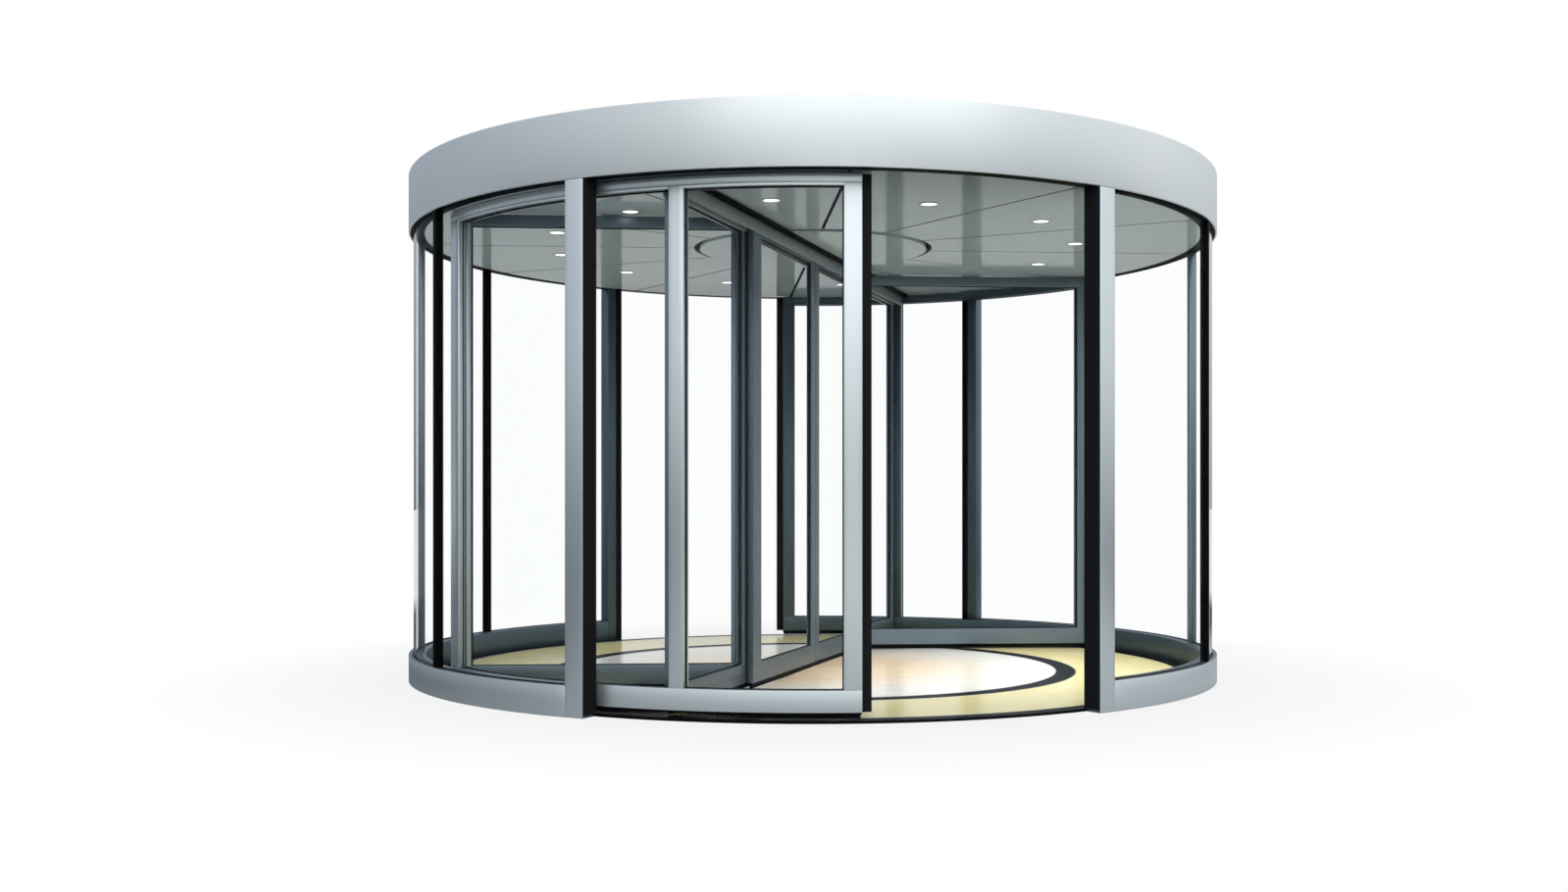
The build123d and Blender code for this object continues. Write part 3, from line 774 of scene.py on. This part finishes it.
def safety_strips():
    """Ribbed rubber profiles on the jambs, each with a flap on the post's inner face."""
    low_r = WALL_IN_R - STRIP_FLAP_T
    depth = DRUM_R - STRIP_SETBACK - low_r
    height = PASSAGE_H - FLOOR_TOP
    pitch = depth / (2 * STRIP_RIBS)
    strips = []
    for jamb_deg, turn_deg in JAMB_DEGS:
        strip = plate("strip", (STRIP_T, depth), (-STRIP_T / 2, -(low_r + depth / 2), FLOOR_TOP))
        edit(strip)
        pick(strip, lambda place: place.x < -STRIP_T / 2)
        bpy.ops.mesh.subdivide(number_cuts=2 * STRIP_RIBS - 1)
        pick(strip, lambda place: place.x < -STRIP_T / 2 and round((-place.y - low_r) / pitch) % 2 == 0)
        bpy.ops.transform.translate(value=(STRIP_RIB_DEPTH, 0, 0))
        bpy.ops.mesh.select_all(action="SELECT")
        extrude((0, 0, height))
        close()
        flap_place = (STRIP_FLAP_W / 2, -(low_r + STRIP_FLAP_T / 2), FLOOR_TOP)
        flap = upright("flap", (STRIP_FLAP_W, STRIP_FLAP_T), flap_place, height, STRIP_FLAP_ROUND)
        right = joined("strip", [strip, flap])
        left = copy_of(right)
        mirror(left, (-1, 1, 1))
        turn(right, turn_deg + jamb_deg)
        turn(left, turn_deg - jamb_deg)
        strips += [right, left]
    fit(joined("ribbed_safety_strips", strips), RUBBER, "drum", "black_rubber", "safety_strips")


def wall_gaskets():
    """Rubber beads on both faces of the curved wall panes, on the plinth and under the canopy."""
    beads = []
    for low_r, high_r in pane_sides(WALL_GLASS_R, WALL_GLASS_HALF, GASKET_T):
        for low_z, high_z in ((PLINTH_H, PLINTH_H + GASKET_W), (PASSAGE_H - GASKET_W, PASSAGE_H)):
            for start, end in (WALL_SPAN, (-WALL_SPAN[1], -WALL_SPAN[0])):
                beads.append(arc("bead", low_r, high_r, low_z, high_z, start, end, GASKET_ROUND))
    fit(joined("wall_gaskets", beads), RUBBER, "drum", "black_rubber")


def floor_trims():
    """Thin steel strips let into the joints between the floor's fields."""
    low_z = FLOOR_TOP - FLOOR_TRIM_RISE
    high_z = FLOOR_TOP + FLOOR_TRIM_RISE
    half = FLOOR_TRIM_W / 2
    trims = [arc("trim", radius - half, radius + half, low_z, high_z, 0, FULL_TURN_DEG, FLOOR_TRIM_RISE / 2)
             for radius in FLOOR_JOINT_RS]
    fit(joined("floor_trims", trims), STEEL, "drum", "floor_dark")


def around(piece, places):
    """Copies of a piece, drawn at the axis, at places given as radius and angle from +X."""
    copies = []
    for radius, angle_deg in places:
        twin = copy_of(piece)
        twin.location.x = radius
        settle(twin)
        turn(twin, angle_deg)
        copies.append(twin)
    bpy.data.objects.remove(piece)
    return copies


def round_plate(name, radius, height):
    """Start a piece of a downlight from a disc on the door's axis."""
    bpy.ops.object.select_all(action="DESELECT")
    bpy.ops.mesh.primitive_circle_add(vertices=LIGHT_SIDES, radius=radius, fill_type="NGON",
                                      location=(0, 0, height))
    piece = bpy.context.object
    piece.name = name
    settle(piece)
    return piece


def downlights():
    """Flared trim rings and slightly domed opal lenses in the ceiling panels."""
    trim = round_plate("trim", LIGHT_RIM_R, PASSAGE_H)
    edit(trim)
    extrude((0, 0, -LIGHT_RIM_T))
    close()
    edit(trim)
    pick(trim, lambda place: place.z < PASSAGE_H - LIGHT_RIM_T / 2)
    bpy.ops.mesh.inset(thickness=LIGHT_RIM_T)
    bpy.ops.mesh.inset(thickness=LIGHT_RIM_R - LIGHT_RIM_T - LIGHT_MOUTH_R)
    bpy.ops.mesh.inset(thickness=LIGHT_MOUTH_R - LIGHT_LENS_R, depth=-(LENS_RECESS + LIGHT_RIM_T))
    close()
    lens = round_plate("lens", LIGHT_LENS_R, PASSAGE_H + LENS_RECESS)
    edit(lens)
    extrude((0, 0, -LENS_DROP))
    bpy.ops.transform.resize(value=(LENS_FLARE, LENS_FLARE, 1))
    close()
    edit(lens)
    pick(lens, lambda place: place.z < PASSAGE_H)
    for step, drop in LENS_DOME:
        bpy.ops.mesh.inset(thickness=step, depth=drop)
    close()
    step_deg = FULL_TURN_DEG / LIGHT_COUNT
    places = [(LIGHT_RING_R, LIGHT_START_DEG + step_deg * index) for index in range(LIGHT_COUNT)]
    trims = joined("downlight_rings", around(trim, places))
    lenses = joined("downlight_domes", around(lens, places))
    fit(trims, TRIM_GREY, "drum", "lamp_trim", "downlight_trims")
    fit(lenses, LENS, "drum", "lamp_lens", "downlight_lenses")


def roof_screws():
    """Hexagon-headed screws beside the roof's seams."""
    middle_z = ROOF_SHEET_TOP + SCREW_H / 2
    bpy.ops.object.select_all(action="DESELECT")
    bpy.ops.mesh.primitive_cylinder_add(vertices=SCREW_SIDES, radius=SCREW_R, depth=SCREW_H,
                                        location=(0, 0, middle_z))
    screw = bpy.context.object
    settle(screw)
    edit(screw)
    pick(screw, lambda place: place.z > middle_z)
    bpy.ops.mesh.bevel(offset=SCREW_H / 4, segments=1, affect="EDGES")
    pick(screw, lambda place: place.z < middle_z)
    bpy.ops.mesh.inset(thickness=0)
    bpy.ops.transform.resize(value=(SCREW_FLANGE, SCREW_FLANGE, 1))
    close(merge=True)
    places = []
    for index in range(ROOF_SEAM_COUNT):
        seam_deg = index * FULL_TURN_DEG / ROOF_SEAM_COUNT
        for radius in SCREW_RS:
            swing = math.degrees(SCREW_OFFSET / radius)
            places += [(radius, seam_deg - swing), (radius, seam_deg + swing)]
    fit(joined("roof_screws", around(screw, places)), STEEL, "drum", "roof_sheet")


def on_rotor(piece, turn_deg=0):
    """Turn a piece of the rotor, drawn with the wing along Y, to its place at rest."""
    turn(piece, turn_deg + REST_DEG)
    return piece


def back_twin(piece):
    """The same piece on the back half of the wing, mirrored along it."""
    twin = copy_of(piece)
    mirror(twin, (1, -1, 1))
    return twin


def frame_gasket(window, side):
    """Rubber bead round one face of a flat pane."""
    middle_v, low_y, high_y, sill, head = window
    size = (high_y - low_y, head - sill)
    place = (middle_v + side * ROTOR_GLASS_HALF, (low_y + high_y) / 2, (sill + head) / 2)
    bead = plate("bead", size, place, STANDING_ALONG_Y)
    edit(bead)
    bpy.ops.mesh.inset(thickness=GASKET_W)
    bpy.ops.mesh.delete(type="FACE")
    bpy.ops.mesh.select_all(action="SELECT")
    extrude((side * GASKET_T, 0, 0))
    close()
    return bead


def window_gaskets(window):
    return joined("bead", [frame_gasket(window, 1), frame_gasket(window, -1)])


def screen_gaskets():
    """Beads round both faces of a curved screen's panes."""
    head = SCREEN_HEAD_FOOT - BEAD_H
    edge_deg = math.degrees(GASKET_W / SCREEN_GLASS_R)
    beads = []
    for low_r, high_r in pane_sides(SCREEN_GLASS_R, ROTOR_GLASS_HALF, GASKET_T):
        for start, end in PANE_SPANS:
            for low_z, high_z in ((RAIL_HEAD, RAIL_HEAD + GASKET_W), (head - GASKET_W, head)):
                beads.append(arc("bead", low_r, high_r, low_z, high_z, start, end, GASKET_ROUND))
            for low_deg in (start, end - edge_deg):
                side_bead = radial_plate("bead", low_r, high_r, RAIL_HEAD + GASKET_W, head - GASKET_W)
                beads.append(sweep(side_bead, low_deg, low_deg + edge_deg))
    return joined("bead", beads)


def head_beads():
    """Snap-in glazing beads under the head rail of a curved screen, just behind both its faces."""
    outer = (SCREEN_GLASS_R + ROTOR_GLASS_HALF, SCREEN_OUT_R - BEAD_SETBACK)
    inner = (SCREEN_IN_R + BEAD_SETBACK, SCREEN_GLASS_R - ROTOR_GLASS_HALF)
    foot = SCREEN_HEAD_FOOT - BEAD_H
    strips = []
    for low_r, high_r in (outer, inner):
        for start, end in PANE_SPANS:
            strips.append(arc("strip", low_r, high_r, foot, SCREEN_HEAD_FOOT, start, end, 2 * BEAD_SETBACK))
    return joined("strip", strips)


def end_seal(edge_deg, side):
    """Rubber fin with a wide base along the upright edge of a curved screen."""
    base_place = (side * END_SEAL_BASE_W / 2, -SCREEN_GLASS_R, RAIL_FOOT)
    seal = plate("seal", (END_SEAL_BASE_W, 2 * END_SEAL_HALF), base_place)
    edit(seal)
    pick(seal, lambda place: side * place.x > END_SEAL_BASE_W / 2)
    extrude((0, 0, 0))
    bpy.ops.transform.resize(value=(1, END_SEAL_FIN_SHARE, 1))
    extrude((side * (END_SEAL_W - END_SEAL_BASE_W), 0, 0))
    round_corners(END_SEAL_TIP_R, FINE_SEGMENTS)
    bpy.ops.mesh.select_all(action="SELECT")
    extrude((0, 0, SCREEN_TOP - RAIL_FOOT))
    close(merge=True)
    turn(seal, edge_deg)
    return seal


def tuft(place_x, place_y):
    """One bundle of bristles with a crimped root."""
    depth = RAIL_FOOT - BRUSH_HOLDER_H - BRUSH_FOOT
    middle_z = BRUSH_FOOT + depth / 2
    bpy.ops.object.select_all(action="DESELECT")
    bpy.ops.mesh.primitive_cone_add(vertices=TUFT_SIDES, radius1=TUFT_TIP_R, radius2=TUFT_ROOT_R,
                                    depth=depth, location=(place_x, place_y, middle_z))
    piece = bpy.context.object
    settle(piece)
    edit(piece)
    pick(piece, lambda place: place.z > middle_z)
    extrude((0, 0, BRUSH_HOLDER_H / 3))
    bpy.ops.transform.resize(value=(TUFT_CRIMP, TUFT_CRIMP, 1))
    close()
    return piece


def arc_brush():
    """Brush under a curved screen: holder and two staggered rows of bristles."""
    start, end = SCREEN_SPAN
    low_r = SCREEN_GLASS_R - BRUSH_HALF
    high_r = SCREEN_GLASS_R + BRUSH_HALF
    holder_foot = RAIL_FOOT - BRUSH_HOLDER_H
    pieces = [arc("holder", low_r, high_r, holder_foot, RAIL_FOOT, start, end, BRUSH_HOLDER_ROUND)]
    step_deg = math.degrees(TUFT_STEP / SCREEN_GLASS_R)
    count = math.floor((end - start) / step_deg) - 1
    for row, offset in enumerate((-TUFT_ROW_OFFSET, TUFT_ROW_OFFSET)):
        bristles = tuft(SCREEN_GLASS_R + offset, 0)
        edit(bristles)
        spin(count, count * step_deg, copies=True)
        close()
        turn(bristles, start - QUARTER_TURN_DEG + (row + 1) * step_deg / 2)
        pieces.append(bristles)
    return joined("brush", pieces)


def straight_brush(line):
    """Brush under a flat frame, drawn along Y."""
    middle_v, low_y, high_y = line
    length = high_y - low_y
    holder_place = (middle_v, (low_y + high_y) / 2, RAIL_FOOT - BRUSH_HOLDER_H)
    pieces = [upright("holder", (2 * BRUSH_HALF, length), holder_place, BRUSH_HOLDER_H, BRUSH_HOLDER_ROUND)]
    for row, offset in enumerate((-TUFT_ROW_OFFSET, TUFT_ROW_OFFSET)):
        bristles = tuft(middle_v + offset, low_y + (row + 1) * TUFT_STEP / 2)
        rows = bristles.modifiers.new("row", "ARRAY")
        rows.count = math.floor(length / TUFT_STEP) - 1
        rows.use_relative_offset = False
        rows.use_constant_offset = True
        rows.constant_offset_displace = (0, TUFT_STEP, 0)
        apply_modifiers(bristles)
        pieces.append(bristles)
    return joined("brush", pieces)


def rotor_seals():
    """Brushes under everything that turns, fins at the screens' ends and trim round the panes."""
    brushes = []
    beads = []
    strips = []
    for turn_deg in (0, HALF_TURN_DEG):
        strips.append(on_rotor(head_beads(), turn_deg))
        brushes.append(on_rotor(arc_brush(), turn_deg))
        for edge_deg, side in zip(SCREEN_SPAN, (-1, 1)):
            brushes.append(on_rotor(end_seal(edge_deg, side), turn_deg))
        beads.append(on_rotor(screen_gaskets(), turn_deg))
    front_case = (FRONT_CASE_BRUSH, FRONT_CASE_WINDOW, CASE_TURN_DEG)
    back_case = (BACK_CASE_BRUSH, BACK_CASE_WINDOW, HALF_TURN_DEG + CASE_TURN_DEG)
    for line, window, turn_deg in (front_case, back_case):
        brushes.append(on_rotor(straight_brush(line), turn_deg))
        beads.append(on_rotor(window_gaskets(window), turn_deg))
    brush = straight_brush(SIDELIGHT_BRUSH)
    bead = window_gaskets(SIDELIGHT_WINDOW)
    for pieces, piece in ((brushes, brush), (beads, bead)):
        twin = back_twin(piece)
        pieces += [on_rotor(piece), on_rotor(twin)]
    fit(joined("rotor_bristles", brushes), RUBBER, "rotor", "black_rubber", "rotor_brushes")
    fit(joined("rotor_gaskets", beads), RUBBER, "rotor", "black_rubber")
    fit(joined("screen_head_beads", strips), SCREEN_SILVER, "rotor", "satin_aluminium")


def leaf_seals():
    """Brush, beads and meeting seal of each leaf."""
    seal_place = (0, -LEAF_EDGE_V + LEAF_SEAL_T / 2, RAIL_FOOT)
    seal = upright("seal", (LEAF_SEAL_W, LEAF_SEAL_T), seal_place, LEAF_TOP - RAIL_FOOT, LEAF_SEAL_ROUND)
    beads = joined("bead", [window_gaskets(LEAF_WINDOW), seal])
    brush = straight_brush(LEAF_BRUSH)
    back_leaf = ("back_leaf", back_twin(beads), back_twin(brush))
    front_leaf = ("front_leaf", beads, brush)
    for body, gaskets, bristles in (back_leaf, front_leaf):
        gaskets = joined(f"{body}_gaskets", [on_rotor(gaskets)])
        bristles = joined(f"{body}_bristles", [on_rotor(bristles)])
        fit(gaskets, RUBBER, body, "black_rubber")
        fit(bristles, RUBBER, body, "black_rubber", f"{body}_brush")


def studio_world():
    """White wherever it is seen, and round the door a dark left, a paler right and a bright sky."""
    world = bpy.data.worlds.new("studio")
    world.use_nodes = True
    finish = Finish(world.node_tree)
    east, north, up = finish.axes(finish.add("ShaderNodeTexCoord", {}, {}, "Generated"))
    seen, mirrored, through = finish.rays("Camera", "Glossy", "Transmission")
    side = (SIDE_BASE + east * SIDE_EAST - north * SIDE_NORTH).clamped()
    horizon = finish.mix(side, *HORIZON_TONES)
    sky = finish.mix(side, *SKY_TONES)
    round_about = finish.mix((up * SKY_FADE).clamped(), horizon, sky)
    behind = north.rise(BACKDROP_FROM, BACKDROP_FADE)
    shown = (seen + through + mirrored * behind).clamped()
    colour = finish.mix(shown, round_about, WHITE)
    background = finish.add("ShaderNodeBackground", {}, {"Color": colour, "Strength": 1})
    finish.node("ShaderNodeOutputWorld", {}, {"Surface": background})
    bpy.context.scene.world = world


def studio_floor():
    """Pale floor that shows white further out and keeps a soft shadow round the door, deepened by painted
    shadow; what metal mirrors of it is painted with pools of light, dimmer near the door.
    """
    bpy.ops.object.select_all(action="DESELECT")
    bpy.ops.mesh.primitive_plane_add(size=STUDIO_FLOOR_SIZE, location=(0, 0, STUDIO_FLOOR_Z))
    floor = bpy.context.object
    floor.name = "studio_floor"
    material, finish = new_material("studio_floor")
    seen, mirrored, through = finish.rays("Camera", "Glossy", "Transmission")
    far = finish.radius().rise(SHADE_FROM_R, SHADE_FADE)
    floor_x, floor_y, _ = finish.axes(finish.place())
    # Painted light for what metal mirrors: a pool in front, right of centre, and one behind, dimmed near the
    # door as painted shadow.
    off_centre = floor_x - FRONT_GLOW_X
    rear = floor_y.rise(REAR_GLOW_FROM_Y, REAR_GLOW_FADE)
    front = (FRONT_GLOW - off_centre * off_centre * FRONT_GLOW_FADE).clamped() * (1 - rear)
    bright = (front + rear * REAR_GLOW) * (NEAR_GLOW + far * (1 - NEAR_GLOW))
    paper = finish.add("ShaderNodeBsdfDiffuse", {}, {"Color": finish.colour(PAPER_TONE)})
    white = finish.add("ShaderNodeEmission", {}, {"Color": finish.colour(WHITE), "Strength": 1})
    shown = (seen + through + mirrored * bright).clamped()
    # Painted shadow: near the door less white is shown, so the floor is greyer there even where no shadow
    # falls.
    factor = shown * (SHADE_WHITE + far * (1 - SHADE_WHITE))
    surface(finish, finish.add("ShaderNodeMixShader", {}, {0: factor, 1: paper, 2: white}))
    paint(floor, material)


def softbox(name, place, target, size, power):
    """Rectangular lamp aimed at a point."""
    light = bpy.data.lights.new(name, "AREA")
    light.shape = "RECTANGLE"
    light.size, light.size_y = size
    light.energy = power
    lamp = added(name, light)
    lamp.location = place
    lamp.rotation_euler = (Vector(target) - Vector(place)).to_track_quat("-Z", "Y").to_euler()
    return lamp


def studio_lamps():
    """Two large softboxes outside, and a small one under the ceiling that nothing mirrors."""
    lamps = {name: softbox(name, **settings) for name, settings in SOFTBOXES.items()}
    inner = lamps["inner_softbox"]
    inner.data.spread = INNER_SPREAD
    inner.visible_glossy = False
    inner.visible_transmission = False


def camera():
    data = bpy.data.cameras.new("camera")
    data.lens = CAMERA_LENS
    data.sensor_width = CAMERA_SENSOR
    data.shift_x, data.shift_y = CAMERA_SHIFT
    eye = added("camera", data)
    eye.location = (math.sin(CAMERA_AZIMUTH) * CAMERA_DISTANCE,
                    -math.cos(CAMERA_AZIMUTH) * CAMERA_DISTANCE, CAMERA_HEIGHT)
    eye.rotation_euler = (math.pi / 2, 0, CAMERA_AZIMUTH)
    bpy.context.scene.camera = eye


for node_name, cad in frame["nodes"].items():
    paint(cad, finish_of(node_name))
for node_name, slot_name in SLOT_OF.items():
    if slot_name in ROUNDED_SLOTS and node_name not in FASCIAS:
        rounded_copy(node_name)
canopy_skin()
safety_strips()
wall_gaskets()
floor_trims()
downlights()
roof_screws()
rotor_seals()
leaf_seals()

scene = bpy.context.scene
scene.view_settings.view_transform = "Standard"
scene.cycles.max_bounces = LIGHT_BOUNCES
scene.cycles.transmission_bounces = LIGHT_BOUNCES
scene.cycles.transparent_max_bounces = CLEAR_BOUNCES
studio_world()
studio_floor()
studio_lamps()
camera()
